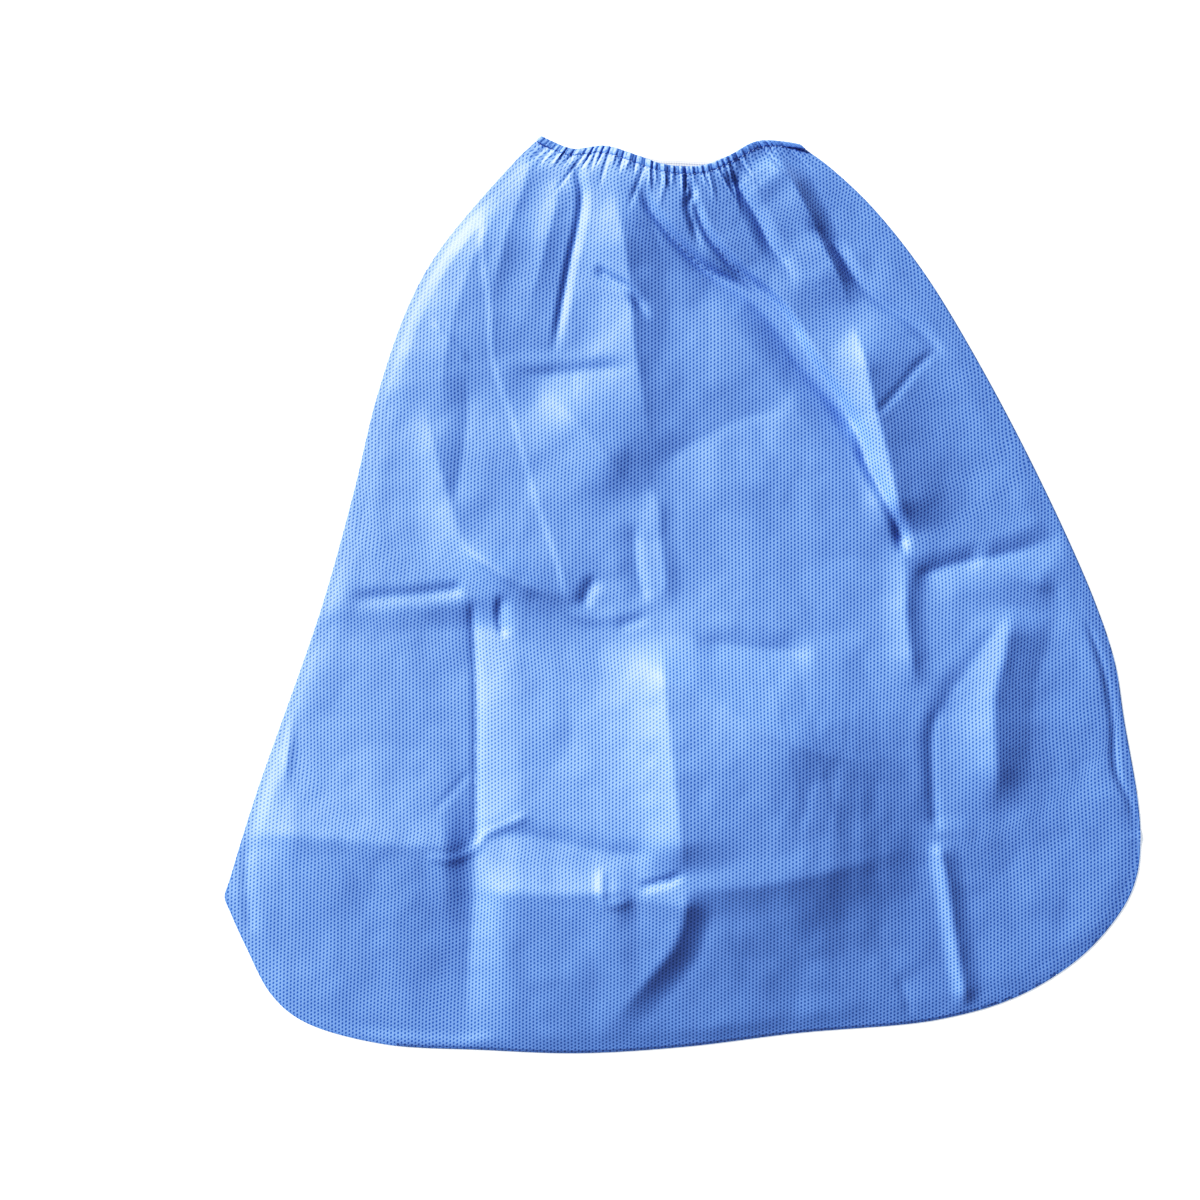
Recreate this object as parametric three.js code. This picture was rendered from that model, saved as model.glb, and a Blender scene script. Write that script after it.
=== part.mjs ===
// Disposable boot cover of light blue non-woven cloth, lying flat on its side on a table.
// Two panels are seamed round the shin, the sole and the instep with the seam margin turned
// inside. The open mouth is drawn in by a narrow ruched hem with a thin elastic inside it.
// Millimetres. x runs from the heel side to the toe side, y from the sole to the mouth, z up.

import * as THREE from 'three';

// Cloth
const CLOTH = 1.0;
const GAP = 0.3;
const STEEPEST = 0.6;

// Height of the upper panel over the table: how far it rises, and over what distance from each
// side. No valley is lower than the lowest one, and no fold shows right at the edge.
const LOFT = 8.5;
const LOFT_REACH = { heelSide: 150, sole: 90, toeSide: 130 };
const LOWEST_VALLEY = 8.2;
const VALLEY_REACH = 34.0;
const EDGE_CALM = 14.0;

// Mouth: the panel rises to its opening, most in the middle
const MOUTH_RISE = 8.0;
const MOUTH_REACH = 0.14;
const MOUTH_START = 0.06;
const MOUTH_SHOULDER = 0.2;
const MOUTH_TOE_SHOULDER = 0.24;
const HEM_WIDTH = 3.2;
const HEM_FAN_DEG = 46;
const BACK_HEM_RISE = 2.3;
const BACK_HEM_MIDDLE = 0.54;
const BACK_HEM_SPREAD = 0.13;
const RUFFLE_COUNT = 17;
const RUFFLE_HEIGHT = 0.45;
const RUFFLE_FADE = 0.125;
const HEM_CALM = 0.03;
const HEM_FOLD_SHARE = 0.3;
const ELASTIC_WIDTH = 2.2;
const ELASTIC_THICKNESS = 0.8;
const ELASTIC_END = 10.0;

// Seam
const SEAM_MARGIN = 5.5;

// How finely each surface is cut into facets
const PANEL_COLUMNS = 54;
const PANEL_ROWS = 33;
const CURVE_DIVISIONS = 600;
const STEPS_A_POINT = 24;
const EDGE_STEPS = 60;
const SHEET_STEPS = { mouth: 40, side: 26, sole: 52 };
const HEM_STEPS = { front: 104, back: 36, end: 5 };
const ELASTIC_STEPS = { front: 40, back: 40, end: 4 };

// Heights of the layers where the two panels meet at the seam
const BACK_TOP = CLOTH;
const SEAM_BOTTOM = BACK_TOP + GAP;
const SEAM_TOP = SEAM_BOTTOM + CLOTH;
const RIM_BOTTOM = SEAM_TOP + GAP;
const RIM_TOP = RIM_BOTTOM + CLOTH;

// Outline of the cover lying flat. Columns: x, y.
// The mouth runs from the heel side to the toe side, the two sides from the mouth down to the
// corners, and the sole between the corners. The heel corner is tight and the toe is round.
const OUTLINE = {
  mouth: [
    [-62.0, 200.2], [-56.5, 197.6], [-48.0, 194.4], [-34.0, 195.4], [-20.0, 190.9], [-8.0, 186.7],
    [8.0, 186.3], [18.5, 190.2], [32.0, 197.5], [43.0, 197.8], [51.5, 196.4],
  ],
  heelSide: [
    [-73.0, 189.6], [-106.0, 150.9], [-119.5, 127.0], [-133.6, 86.7], [-144.1, 43.7],
    [-158.1, -6.3], [-187.3, -89.7], [-198.3, -125.5],
  ],
  heelCorner: [-200.2, -132.0],
  toeSide: [
    [62.9, 187.6], [81.7, 170.1], [104.4, 141.7], [128.4, 102.4], [155.9, 50.0], [179.5, -2.4],
    [188.6, -30.0], [192.6, -54.8], [198.6, -90.0],
  ],
  toeCorner: [200.3, -107.2],
  sole: [
    [-198.0, -138.0], [-190.8, -153.9], [-179.9, -174.5], [-166.5, -186.0], [-132.3, -196.0],
    [-87.3, -198.8], [-45.0, -200.2], [0.0, -197.5], [49.3, -191.5], [112.2, -185.4],
    [147.2, -174.9], [173.4, -157.0], [190.8, -135.0], [197.2, -122.0],
  ],
};

// Creases and folds of the upper panel, each along a path from the sole up, or from the heel
// side across to the toe side. A positive height is a ridge, a negative one a valley. Left and
// right are the widths of its two slopes, as seen when walking along the path, and start and
// end the lengths over which it comes up and runs out.
const FOLDS = [
  {
    name: 'calf crease low', height: 5.0, left: 34, right: 44, start: 10, end: 36,
    path: [[0, -121], [-5, -68], [-8, -24], [-12, 33]],
  },
  {
    name: 'calf crease top', height: 4.2, left: 17, right: 34, start: 14, end: 10,
    path: [[-17, 94], [-21, 124], [-26, 155], [-31, 194]],
  },
  {
    name: 'shin crease', height: 2.2, left: 34, right: 20, start: 10, end: 8,
    path: [[-80, 91], [-83, 116], [-78, 153], [-65, 196]],
  },
  {
    name: 'gather valley', height: -2.0, left: 8, right: 14, start: 22, end: 8,
    path: [[-55, 107], [-52, 137], [-45, 159], [-42, 188]],
  },
  {
    name: 'front valley', height: -4.8, left: 18, right: 17, start: 12, end: 6,
    path: [[96, 28], [76, 63], [51, 107], [25, 135], [3, 153], [-14, 168], [-29, 190]],
  },
  {
    name: 'middle pleat', height: -2.6, left: 9, right: 9, start: 14, end: 6,
    path: [[38, 122], [21, 144], [7, 166], [0, 188]],
  },
  {
    name: 'toe side pleat', height: -2.4, left: 15, right: 9, start: 22, end: 6,
    path: [[47, 135], [36, 161], [28, 188]],
  },
  {
    name: 'instep valley', height: -3.6, left: 9, right: 14, start: 24, end: 14,
    path: [[119, 102], [86, 132], [69, 150], [53, 172]],
  },
  {
    name: 'instep ridge', height: 3.2, left: 14, right: 24, start: 12, end: 24,
    path: [[97, 26], [88, 63], [81, 89], [71, 129]],
  },
  {
    name: 'instep rib', height: 3.0, left: 10, right: 14, start: 18, end: 14,
    path: [[101, -48], [97, -2], [94, 28]],
  },
  {
    name: 'heel valley, upper', height: -0.9, left: 9, right: 10, start: 8, end: 14,
    path: [[-101, 39], [-98, 67], [-94, 91]],
  },
  {
    name: 'heel valley, lower', height: -3.2, left: 62, right: 28, start: 12, end: 12,
    path: [[-95, -197], [-91, -133], [-90, -68], [-90, 4]],
  },
  {
    name: 'heel cross crease', height: 2.0, left: 26, right: 40, start: 26, end: 20,
    path: [[-196, -103], [-154, -104], [-122, -106], [-84, -108]],
  },
  {
    name: 'sole cross crease', height: -1.8, left: 16, right: 18, start: 16, end: 12,
    path: [[-89, -108], [-62, -106], [-36, -112], [-1, -119]],
  },
  {
    name: 'sole ridge', height: 1.6, left: 18, right: 40, start: 20, end: 20,
    path: [[-89, -130], [-54, -130], [-14, -126]],
  },
  {
    name: 'toe cross crease', height: 3.4, left: 56, right: 44, start: 28, end: 24,
    path: [[-6, -118], [34, -116], [86, -121], [114, -110]],
  },
  {
    name: 'mid ridge', height: 4.2, left: 34, right: 62, start: 30, end: 24,
    path: [[-8, -30], [16, -53], [51, -66], [114, -69]],
  },
  {
    name: 'sole arch', height: 2.6, left: 60, right: 22, start: 24, end: 20,
    path: [[-41, -188], [-14, -160], [-3, -142], [3, -117]],
  },
  {
    name: 'shin ridge', height: 2.6, left: 16, right: 16, start: 24, end: 12,
    path: [[-119, 97], [-110, 67], [-102, 36]],
  },
  {
    name: 'ankle ridge', height: 4.4, left: 30, right: 46, start: 30, end: 40,
    path: [[-114, 57], [-91, 17], [-67, 0], [-19, -13]],
  },
  {
    name: 'shin facet', height: 3.4, left: 38, right: 30, start: 30, end: 36,
    path: [[-89, 100], [-54, 63], [-10, 30]],
  },
  {
    name: 'shin hollow', height: -1.8, left: 32, right: 36, start: 24, end: 24,
    path: [[-14, 46], [14, 74], [51, 91]],
  },
  {
    name: 'toe panel ridge', height: 3.4, left: 30, right: 20, start: 22, end: 12,
    path: [[132, -96], [140, -46], [141, 0]],
  },
  {
    name: 'toe panel valley', height: -1.6, left: 16, right: 32, start: 26, end: 18,
    path: [[152, -94], [152, -42], [162, 6]],
  },
];
const FOLD_STEPS = 20;
const FOLD_SHARPNESS = 1.75;

// Broad swells of the pouch. Columns: middle, half widths and height.
const SWELLS = [
  { name: 'foot swell', x: 60, y: -61, halfX: 100, halfY: 60, height: 8.0 },
  { name: 'heel swell', x: -126, y: -72, halfX: 70, halfY: 70, height: 2.0 },
];

// Small gathers that run down from the hem. Columns: place across the mouth from 0 to 1,
// height, half width in the same unit as the place, and reach down the panel as a share of it.
const GATHERS = [
  { at: 0.07, height: 0.8, width: 0.03, reach: 0.1 },
  { at: 0.15, height: -0.9, width: 0.03, reach: 0.16 },
  { at: 0.31, height: -0.8, width: 0.03, reach: 0.14 },
  { at: 0.47, height: 1.2, width: 0.04, reach: 0.14 },
  { at: 0.63, height: 1.3, width: 0.04, reach: 0.18 },
  { at: 0.72, height: -0.9, width: 0.03, reach: 0.12 },
  { at: 0.85, height: 1.2, width: 0.04, reach: 0.16 },
  { at: 0.95, height: -0.7, width: 0.03, reach: 0.1 },
];

function smooth(t) {
  const s = THREE.MathUtils.clamp(t, 0, 1);
  return s * s * (3 - 2 * s);
}

function curveThrough(points) {
  const line = points.map(([x, y]) => new THREE.Vector3(x, y, 0));
  const curve = new THREE.CatmullRomCurve3(line, false, 'centripetal');
  curve.arcLengthDivisions = CURVE_DIVISIONS;
  return curve;
}

const mouthCurve = curveThrough(OUTLINE.mouth);
const MOUTH_LENGTH = mouthCurve.getLength();

// A point of the hem band: across the mouth from 0 to 1, and down from its top edge in
// millimetres. The band fans out at its two ends to follow the sides of the cover.
function hemPoint(across, down) {
  const top = mouthCurve.getPointAt(THREE.MathUtils.clamp(across, 0, 1));
  const fan = THREE.MathUtils.degToRad(HEM_FAN_DEG) * (2 * across - 1);
  return new THREE.Vector2(top.x + down * Math.sin(fan), top.y - down * Math.cos(fan));
}

// The back hem shows a little above the front one in the middle of the mouth.
function backHemRise(across) {
  const away = (across - BACK_HEM_MIDDLE) / BACK_HEM_SPREAD;
  return BACK_HEM_RISE * Math.exp(-away * away);
}

const PANEL_START = HEM_WIDTH + GAP;

// The seam is one curve from the mouth round the heel, the sole and the toe to the mouth. Its
// three edges are the stretches between the mouth and the two corners.
const seamStart = hemPoint(0, PANEL_START).toArray();
const seamEnd = hemPoint(1, PANEL_START).toArray();
const seamBefore = [seamStart, ...OUTLINE.heelSide];
const seamAfter = [...OUTLINE.toeSide].reverse();
const seamCurve = curveThrough([
  ...seamBefore, OUTLINE.heelCorner, ...OUTLINE.sole, OUTLINE.toeCorner, ...seamAfter, seamEnd,
]);
seamCurve.arcLengthDivisions = STEPS_A_POINT * (seamCurve.points.length - 1);

// Share of the seam's length at one of the points that it goes through.
function seamShare(index) {
  const lengths = seamCurve.getLengths();
  return lengths[STEPS_A_POINT * index] / seamCurve.getLength();
}

const HEEL_SHARE = seamShare(seamBefore.length);
const TOE_SHARE = seamShare(seamBefore.length + OUTLINE.sole.length + 1);

const EDGE_POINTS = {
  heelSide: (share) => seamCurve.getPointAt(share * HEEL_SHARE),
  sole: (share) => seamCurve.getPointAt(HEEL_SHARE + share * (TOE_SHARE - HEEL_SHARE)),
  toeSide: (share) => seamCurve.getPointAt(1 - share * (1 - TOE_SHARE)),
};

function edgeLine(name, steps) {
  return Array.from({ length: steps + 1 }, (_, k) => EDGE_POINTS[name](k / steps));
}

function seamLine(sideSteps, soleSteps) {
  const down = edgeLine('heelSide', sideSteps);
  const round = edgeLine('sole', soleSteps);
  const up = edgeLine('toeSide', sideSteps).reverse();
  return [...down, ...round.slice(1, -1), ...up];
}

// Where a point lies beside a line: its signed distance, positive on the left, and its place
// along the line from 0 to 1.
function besideLine(x, y, line) {
  let best = { distance: Infinity, along: 0 };
  for (let k = 1; k < line.length; k += 1) {
    const from = line[k - 1];
    const to = line[k];
    const dx = to.x - from.x;
    const dy = to.y - from.y;
    const length2 = dx * dx + dy * dy;
    const t = THREE.MathUtils.clamp(((x - from.x) * dx + (y - from.y) * dy) / length2, 0, 1);
    const distance = Math.hypot(x - from.x - t * dx, y - from.y - t * dy);
    if (distance < Math.abs(best.distance)) {
      const side = Math.sign(dx * (y - from.y) - dy * (x - from.x)) || 1;
      best = { distance: side * distance, along: (k - 1 + t) / (line.length - 1) };
    }
  }
  return best;
}

// The three seamed edges of the cover, for distances from them.
const EDGE_NAMES = Object.keys(EDGE_POINTS);
const edgeLines = EDGE_NAMES.map((name) => edgeLine(name, EDGE_STEPS));

function insets(x, y) {
  return EDGE_NAMES.map((name, k) => {
    return { name, inset: Math.abs(besideLine(x, y, edgeLines[k]).distance) };
  });
}

const foldCurves = FOLDS.map((fold) => curveThrough(fold.path));
const foldLines = foldCurves.map((curve) => curve.getSpacedPoints(FOLD_STEPS));
const foldLengths = foldCurves.map((curve) => curve.getLength());

// A fold is sharp along its line and runs out smoothly on both sides and at both ends.
function foldHeight(fold, line, length, x, y) {
  const { distance, along } = besideLine(x, y, line);
  const width = distance > 0 ? fold.left : fold.right;
  const side = Math.max(0, 1 - Math.abs(distance) / width) ** FOLD_SHARPNESS;
  const ends = smooth((along * length) / fold.start) * smooth(((1 - along) * length) / fold.end);
  return fold.height * side * ends;
}

function swellHeight(x, y) {
  let height = 0;
  for (const swell of SWELLS) {
    const away = Math.hypot((x - swell.x) / swell.halfX, (y - swell.y) / swell.halfY);
    height += swell.height * Math.exp(-away * away);
  }
  return height;
}

function mouthRise(across, along) {
  const heelEnd = smooth((across - MOUTH_START) / MOUTH_SHOULDER);
  const toeEnd = smooth((1 - across) / MOUTH_TOE_SHOULDER);
  return MOUTH_RISE * heelEnd * toeEnd * smooth(1 - along / MOUTH_REACH);
}

function gatherHeight(across, along) {
  let height = 0;
  for (const gather of GATHERS) {
    const away = (across - gather.at) / gather.width;
    height += gather.height * Math.exp(-away * away) * smooth(1 - along / gather.reach);
  }
  return height;
}

// Top of the upper panel: it rises from the seam to its loft, with the folds on it. It keeps
// to the seam at its edge, and its valleys stay clear of the hollow for the foot and the leg.
function upperHeight(x, y, across, along) {
  const sides = insets(x, y);
  const inset = Math.min(...sides.map((side) => side.inset));
  const dome = sides.reduce((share, side) => {
    const fall = 1 - Math.min(side.inset / LOFT_REACH[side.name], 1);
    return share * (1 - fall * fall);
  }, 1);
  const base = RIM_TOP + LOFT * dome + mouthRise(across, along);
  const calm = HEM_FOLD_SHARE + (1 - HEM_FOLD_SHARE) * smooth(along / HEM_CALM);
  let folds = gatherHeight(across, along) + swellHeight(x, y);
  FOLDS.forEach((fold, index) => {
    folds += calm * foldHeight(fold, foldLines[index], foldLengths[index], x, y);
  });
  folds *= smooth(inset / EDGE_CALM);
  const lowest = RIM_TOP + (LOWEST_VALLEY - RIM_TOP) * smooth(inset / VALLEY_REACH);
  return Math.max(base + folds, Math.min(lowest, base));
}

// A point of a panel in plan, blended from its four edges.
function panelPoint(across, along) {
  const top = hemPoint(across, PANEL_START);
  const bottom = EDGE_POINTS.sole(across);
  const left = EDGE_POINTS.heelSide(along);
  const right = EDGE_POINTS.toeSide(along);
  const [topLeft, topRight] = [EDGE_POINTS.heelSide(0), EDGE_POINTS.toeSide(0)];
  const [bottomLeft, bottomRight] = [EDGE_POINTS.sole(0), EDGE_POINTS.sole(1)];
  const blend = (axis) => {
    const edges = (1 - along) * top[axis] + along * bottom[axis]
      + (1 - across) * left[axis] + across * right[axis];
    const corners = (1 - along) * ((1 - across) * topLeft[axis] + across * topRight[axis])
      + along * ((1 - across) * bottomLeft[axis] + across * bottomRight[axis]);
    return edges - corners;
  };
  return new THREE.Vector2(blend('x'), blend('y'));
}

function indexedGeometry(points, triangles) {
  const geometry = new THREE.BufferGeometry();
  const numbers = points.flatMap((p) => [p.x, p.y, p.z]);
  geometry.setAttribute('position', new THREE.Float32BufferAttribute(numbers, 3));
  geometry.setIndex(triangles);
  geometry.computeVertexNormals();
  return geometry;
}

// Two triangles for the four corners of a facet, in order round it seen from outside.
function quad(a, b, c, d) {
  return [a, b, c, a, c, d];
}

function gridTriangles(columns, rows, first, upwards) {
  const triangles = [];
  const at = (i, j) => first + j * (columns + 1) + i;
  for (let j = 0; j < rows; j += 1) {
    for (let i = 0; i < columns; i += 1) {
      const corners = [at(i, j), at(i, j + 1), at(i + 1, j + 1), at(i + 1, j)];
      triangles.push(...quad(...(upwards ? corners : corners.reverse())));
    }
  }
  return triangles;
}

// The border of a grid of points, once round in the same sense as its facets.
function gridBorder(columns, rows) {
  const border = [];
  for (let j = 0; j < rows; j += 1) border.push(j * (columns + 1));
  for (let i = 0; i < columns; i += 1) border.push(rows * (columns + 1) + i);
  for (let j = rows; j > 0; j -= 1) border.push(j * (columns + 1) + columns);
  for (let i = columns; i > 0; i -= 1) border.push(i);
  return border;
}

// The upper panel: a crumpled sheet of even thickness, open towards the mouth.
function frontPanel() {
  const top = [];
  for (let j = 0; j <= PANEL_ROWS; j += 1) {
    for (let i = 0; i <= PANEL_COLUMNS; i += 1) {
      const across = i / PANEL_COLUMNS;
      const along = j / PANEL_ROWS;
      const { x, y } = panelPoint(across, along);
      top.push(new THREE.Vector3(x, y, upperHeight(x, y, across, along)));
    }
  }
  const upwards = gridTriangles(PANEL_COLUMNS, PANEL_ROWS, 0, true);
  const normals = indexedGeometry(top, upwards).getAttribute('normal');
  const under = top.map((p, k) => {
    const depth = CLOTH / Math.max(normals.getZ(k), STEEPEST);
    return new THREE.Vector3(p.x, p.y, Math.max(p.z - depth, RIM_BOTTOM));
  });
  const downwards = gridTriangles(PANEL_COLUMNS, PANEL_ROWS, top.length, false);
  const border = gridBorder(PANEL_COLUMNS, PANEL_ROWS);
  const edge = border.flatMap((a, k) => {
    const b = border[(k + 1) % border.length];
    return quad(a, a + top.length, b + top.length, b);
  });
  return indexedGeometry([...top, ...under], [...upwards, ...downwards, ...edge]);
}

// The lower panel: the same outline, pressed flat on the table.
function backPanel() {
  const outline = seamLine(SHEET_STEPS.side, SHEET_STEPS.sole);
  for (let k = SHEET_STEPS.mouth - 1; k > 0; k -= 1) {
    const across = k / SHEET_STEPS.mouth;
    const point = hemPoint(across, PANEL_START);
    outline.push(new THREE.Vector3(point.x, point.y + backHemRise(across), 0));
  }
  const shape = new THREE.Shape(outline.map((p) => new THREE.Vector2(p.x, p.y)));
  return new THREE.ExtrudeGeometry(shape, { depth: CLOTH, bevelEnabled: false });
}

// A strip of cloth of even width and thickness that follows the seam on its inner side.
function seamMargin() {
  const line = seamLine(SHEET_STEPS.side, SHEET_STEPS.sole);
  const inner = GAP + SEAM_MARGIN;
  const section = [[GAP, SEAM_BOTTOM], [GAP, SEAM_TOP], [inner, SEAM_TOP], [inner, SEAM_BOTTOM]];
  const points = [];
  line.forEach((point, k) => {
    const before = line[Math.max(k - 1, 0)];
    const after = line[Math.min(k + 1, line.length - 1)];
    const way = new THREE.Vector2(after.x - before.x, after.y - before.y).normalize();
    const inwards = new THREE.Vector2(-way.y, way.x);
    for (const [inset, z] of section) {
      points.push(new THREE.Vector3(point.x + inset * inwards.x, point.y + inset * inwards.y, z));
    }
  });
  const triangles = [];
  for (let k = 0; k < line.length - 1; k += 1) {
    for (let c = 0; c < 4; c += 1) {
      const a = 4 * k + c;
      const b = 4 * k + ((c + 1) % 4);
      triangles.push(...quad(a, a + 4, b + 4, b));
    }
  }
  const last = 4 * (line.length - 1);
  triangles.push(...quad(0, 1, 2, 3), ...quad(last + 3, last + 2, last + 1, last));
  return indexedGeometry(points, triangles);
}

// Height of the middle of the front hem, without its ruffles.
function frontHemHeight(across) {
  const point = hemPoint(across, PANEL_START);
  return upperHeight(point.x, point.y, across, 0) - CLOTH / 2;
}

// Section round the open mouth, as distance across it and height: over the front, round the
// toe end, back along the table and round the heel end.
function mouthLoop(start, frontHeight, backHeight, steps) {
  const end = MOUTH_LENGTH - start;
  const loop = [];
  for (let k = 0; k <= steps.front; k += 1) {
    const across = start + (end - start) * (k / steps.front);
    loop.push(new THREE.Vector2(across, frontHeight(across / MOUTH_LENGTH)));
  }
  const turn = (across, outwards, upwards) => {
    const high = frontHeight(across / MOUTH_LENGTH);
    const radius = (high - backHeight) / 2;
    for (let k = 1; k < steps.end; k += 1) {
      const angle = Math.PI * (k / steps.end) - Math.PI / 2;
      const out = outwards * radius * Math.cos(angle);
      const rise = upwards * radius * Math.sin(angle);
      loop.push(new THREE.Vector2(across + out, backHeight + radius + rise));
    }
  };
  turn(end, 1, -1);
  for (let k = 0; k <= steps.back; k += 1) {
    loop.push(new THREE.Vector2(end - (end - start) * (k / steps.back), backHeight));
  }
  turn(start, -1, 1);
  return loop;
}

// A closed band round the mouth: its section's thickness is laid off on both sides of the
// loop, and its width runs down from the top edge of the hem.
function mouthBand(loop, thickness, from, width) {
  const points = [];
  loop.forEach((here, k) => {
    const before = loop[(k + loop.length - 1) % loop.length];
    const after = loop[(k + 1) % loop.length];
    const way = new THREE.Vector2().subVectors(after, before).normalize();
    for (const [side, down] of [[1, from], [1, from + width], [-1, from + width], [-1, from]]) {
      const across = (here.x - side * way.y * thickness / 2) / MOUTH_LENGTH;
      const z = here.y + side * way.x * thickness / 2;
      const point = hemPoint(across, down);
      const back = 1 - smooth((here.y - CLOTH) / (2 * CLOTH));
      points.push(new THREE.Vector3(point.x, point.y + back * backHemRise(across), z));
    }
  });
  const triangles = [];
  const count = loop.length;
  for (let k = 0; k < count; k += 1) {
    const next = (k + 1) % count;
    for (let c = 0; c < 4; c += 1) {
      const d = (c + 1) % 4;
      triangles.push(...quad(4 * k + c, 4 * k + d, 4 * next + d, 4 * next + c));
    }
  }
  return indexedGeometry(points, triangles);
}

// The hem: the mouth edge turned in and drawn up into ruffles on the upper side.
function mouthHem() {
  const ruffled = (across) => {
    const ends = smooth(across / RUFFLE_FADE) * smooth((1 - across) / RUFFLE_FADE);
    const wave = Math.sin(2 * Math.PI * RUFFLE_COUNT * across);
    return frontHemHeight(across) + RUFFLE_HEIGHT * wave * ends;
  };
  const start = (RIM_TOP + CLOTH) / 2 + GAP;
  return mouthBand(mouthLoop(start, ruffled, CLOTH / 2, HEM_STEPS), CLOTH, 0, HEM_WIDTH);
}

// The elastic: a flat cord that runs round just inside the hem.
function elastic() {
  const clear = CLOTH / 2 + RUFFLE_HEIGHT + GAP + ELASTIC_THICKNESS / 2;
  const height = (across) => frontHemHeight(across) - clear;
  const loop = mouthLoop(ELASTIC_END, height, CLOTH + GAP + ELASTIC_THICKNESS / 2, ELASTIC_STEPS);
  return mouthBand(loop, ELASTIC_THICKNESS, 0, ELASTIC_WIDTH);
}

function piece(name, geometry, color, roughness) {
  const material = new THREE.MeshStandardMaterial({ color, roughness, metalness: 0 });
  const mesh = new THREE.Mesh(geometry, material);
  mesh.name = name;
  return mesh;
}

const CLOTH_BLUE = 0x7fa9ec;
const HEM_BLUE = 0x6f9ce6;
const ELASTIC_WHITE = 0xe9ecf2;

const cover = new THREE.Group();
cover.add(
  piece('front_panel', frontPanel(), CLOTH_BLUE, 0.62),
  piece('back_panel', backPanel(), CLOTH_BLUE, 0.62),
  piece('seam_margin', seamMargin(), HEM_BLUE, 0.66),
  piece('mouth_hem', mouthHem(), HEM_BLUE, 0.66),
  piece('elastic', elastic(), ELASTIC_WHITE, 0.8),
);

// The origin is under the middle of the cover, on the table.
const box = new THREE.Box3().setFromObject(cover);
cover.position.set(-(box.min.x + box.max.x) / 2, -(box.min.y + box.max.y) / 2, -box.min.z);

export default cover;
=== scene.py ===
import bpy
import numpy as np
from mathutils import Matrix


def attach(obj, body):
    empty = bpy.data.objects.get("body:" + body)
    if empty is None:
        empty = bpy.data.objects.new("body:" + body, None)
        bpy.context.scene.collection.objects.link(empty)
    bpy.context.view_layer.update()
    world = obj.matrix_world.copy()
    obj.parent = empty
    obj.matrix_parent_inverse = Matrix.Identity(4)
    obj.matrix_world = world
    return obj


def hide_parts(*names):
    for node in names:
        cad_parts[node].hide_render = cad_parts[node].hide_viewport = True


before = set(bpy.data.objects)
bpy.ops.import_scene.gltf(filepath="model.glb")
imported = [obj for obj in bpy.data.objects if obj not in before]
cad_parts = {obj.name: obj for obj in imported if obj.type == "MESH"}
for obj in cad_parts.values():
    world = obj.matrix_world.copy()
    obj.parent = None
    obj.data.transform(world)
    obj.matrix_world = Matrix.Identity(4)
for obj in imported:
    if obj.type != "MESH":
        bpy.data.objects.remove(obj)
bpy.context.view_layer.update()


# Upper panel
# One sheet of light blue spunbond cloth, seamed to the lower panel along the shin, the sole and
# the instep and drawn in by the elastic at the mouth. It still carries the creases of its pack.

MM = 0.001

# Outline of the cover lying flat, in mm: x to the toe side, y to the mouth. The mouth runs from
# the heel side to the toe side, the sides down from it to the two corners, and the sole between
# the corners. The heel corner is tight and the toe is round.
MOUTH = [
    (-62.0, 200.2), (-56.5, 197.6), (-48.0, 194.4), (-34.0, 195.4), (-20.0, 190.9), (-8.0, 186.7),
    (8.0, 186.3), (18.5, 190.2), (32.0, 197.5), (43.0, 197.8), (51.5, 196.4),
]
HEEL_SIDE = [
    (-73.0, 189.6), (-106.0, 150.9), (-119.5, 127.0), (-133.6, 86.7), (-144.1, 43.7),
    (-158.1, -6.3), (-187.3, -89.7), (-198.3, -125.5),
]
HEEL_CORNER = (-200.2, -132.0)
TOE_SIDE = [
    (62.9, 187.6), (81.7, 170.1), (104.4, 141.7), (128.4, 102.4), (155.9, 50.0), (179.5, -2.4),
    (188.6, -30.0), (192.6, -54.8), (198.6, -90.0),
]
TOE_CORNER = (199.7, -107.2)
SOLE = [
    (-198.0, -138.0), (-190.8, -153.9), (-179.9, -174.5), (-166.5, -186.0), (-132.3, -196.0),
    (-87.3, -198.8), (-45.0, -200.2), (0.0, -197.5), (49.3, -191.5), (112.2, -185.4),
    (147.2, -174.9), (175.0, -157.0), (192.6, -136.0), (198.3, -122.0),
]
MOUTH_POINTS = 401
SEAM_POINTS = 2401
HEM_FAN = np.radians(46)
PANEL_START = 3.5
CURVE_STEPS = 40


def smooth(t):
    """Eases from 0 to 1: 3t^2 - 2t^3."""
    t = np.clip(t, 0, 1)
    return t * t * (3 - 2 * t)


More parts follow.
